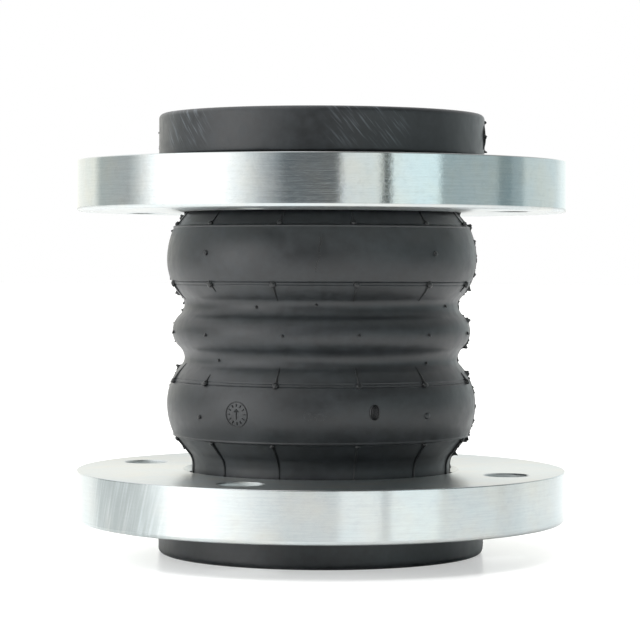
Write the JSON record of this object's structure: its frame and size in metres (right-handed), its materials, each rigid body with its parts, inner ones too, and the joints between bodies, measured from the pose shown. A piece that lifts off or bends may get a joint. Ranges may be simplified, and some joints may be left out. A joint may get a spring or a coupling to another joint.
{
  "type": "rubber expansion joint",
  "caption": "Twin-arch rubber pipe expansion joint: a moulded bellows with beaded sealing collars and loose zinc-plated steel flanges that take up pipe movement, misalignment and vibration.",
  "frame": {"origin": "centre of the lower sealing face, on the pipe axis", "axes": "+Z along the pipe axis towards the upper sealing face; as it stands each loose flange has its bolt holes 22.5 degrees from X and Y; the joint bends about Y, in the XZ plane"},
  "size_m": [0.2, 0.2, 0.1788],
  "materials": {
    "zinc_plated_steel": "turned and zinc plated",
    "cover_rubber": "moulded, satin",
    "liner_rubber": "smooth moulded",
    "nylon_cord_ply": "rubberised cord",
    "filler_rubber": "matt",
    "bead_wire": "brass-coated wire"
  },
  "bodies": {
    "lower_end": {"cover_lower_end": "cover_rubber", "outer_ply_lower_end": "nylon_cord_ply", "inner_ply_lower_end": "nylon_cord_ply", "liner_lower_end": "liner_rubber", "lower_bead_wire": "bead_wire", "lower_bead_filler": "filler_rubber"},
    "lower_arch": {"cover_lower_arch": "cover_rubber", "outer_ply_lower_arch": "nylon_cord_ply", "inner_ply_lower_arch": "nylon_cord_ply", "liner_lower_arch": "liner_rubber"},
    "waist": {"cover_waist": "cover_rubber", "outer_ply_waist": "nylon_cord_ply", "inner_ply_waist": "nylon_cord_ply", "liner_waist": "liner_rubber", "waist_ring": "bead_wire"},
    "upper_arch": {"cover_upper_arch": "cover_rubber", "outer_ply_upper_arch": "nylon_cord_ply", "inner_ply_upper_arch": "nylon_cord_ply", "liner_upper_arch": "liner_rubber"},
    "upper_end": {"cover_upper_end": "cover_rubber", "outer_ply_upper_end": "nylon_cord_ply", "inner_ply_upper_end": "nylon_cord_ply", "liner_upper_end": "liner_rubber", "upper_bead_wire": "bead_wire", "upper_bead_filler": "filler_rubber"},
    "lower_flange": {"lower_flange": "zinc_plated_steel"},
    "upper_flange": {"upper_flange": "zinc_plated_steel"}
  },
  "joints": [
    {"name": "lower_bend", "type": "hinge", "parent": "lower_end", "child": "lower_arch", "pos_m": [0, 0, 0.054], "axis": [0, 1, 0], "range_deg": [-12, 12], "stiffness_Nm_per_rad": 180, "deforming": ["cover_lower_arch", "outer_ply_lower_arch", "inner_ply_lower_arch", "liner_lower_arch"]},
    {"name": "lower_squeeze", "type": "slide", "parent": "lower_arch", "child": "waist", "axis": [0, 0, 1], "range_m": [-0.013, 0.01], "stiffness_N_per_m": 70000, "deforming": ["cover_lower_arch", "outer_ply_lower_arch", "inner_ply_lower_arch", "liner_lower_arch", "cover_waist", "outer_ply_waist", "inner_ply_waist", "liner_waist"]},
    {"name": "upper_squeeze", "type": "slide", "parent": "waist", "child": "upper_arch", "axis": [0, 0, 1], "range_m": [-0.013, 0.01], "stiffness_N_per_m": 70000, "deforming": ["cover_waist", "outer_ply_waist", "inner_ply_waist", "liner_waist", "cover_upper_arch", "outer_ply_upper_arch", "inner_ply_upper_arch", "liner_upper_arch"]},
    {"name": "upper_bend", "type": "hinge", "parent": "upper_arch", "child": "upper_end", "pos_m": [0, 0, 0.127], "axis": [0, 1, 0], "range_deg": [-12, 12], "stiffness_Nm_per_rad": 180, "deforming": ["cover_upper_arch", "outer_ply_upper_arch", "inner_ply_upper_arch", "liner_upper_arch"]},
    {"name": "lower_flange_turn", "type": "hinge", "parent": "lower_end", "child": "lower_flange", "pos_m": [0, 0, 0.0237], "axis": [0, 0, 1], "continuous": true},
    {"name": "upper_flange_turn", "type": "hinge", "parent": "upper_end", "child": "upper_flange", "pos_m": [0, 0, 0.14925], "axis": [0, 0, 1], "continuous": true}
  ],
  "couplings": [
    {"joint": "upper_squeeze", "follows": "lower_squeeze", "ratio": 1}
  ]
}
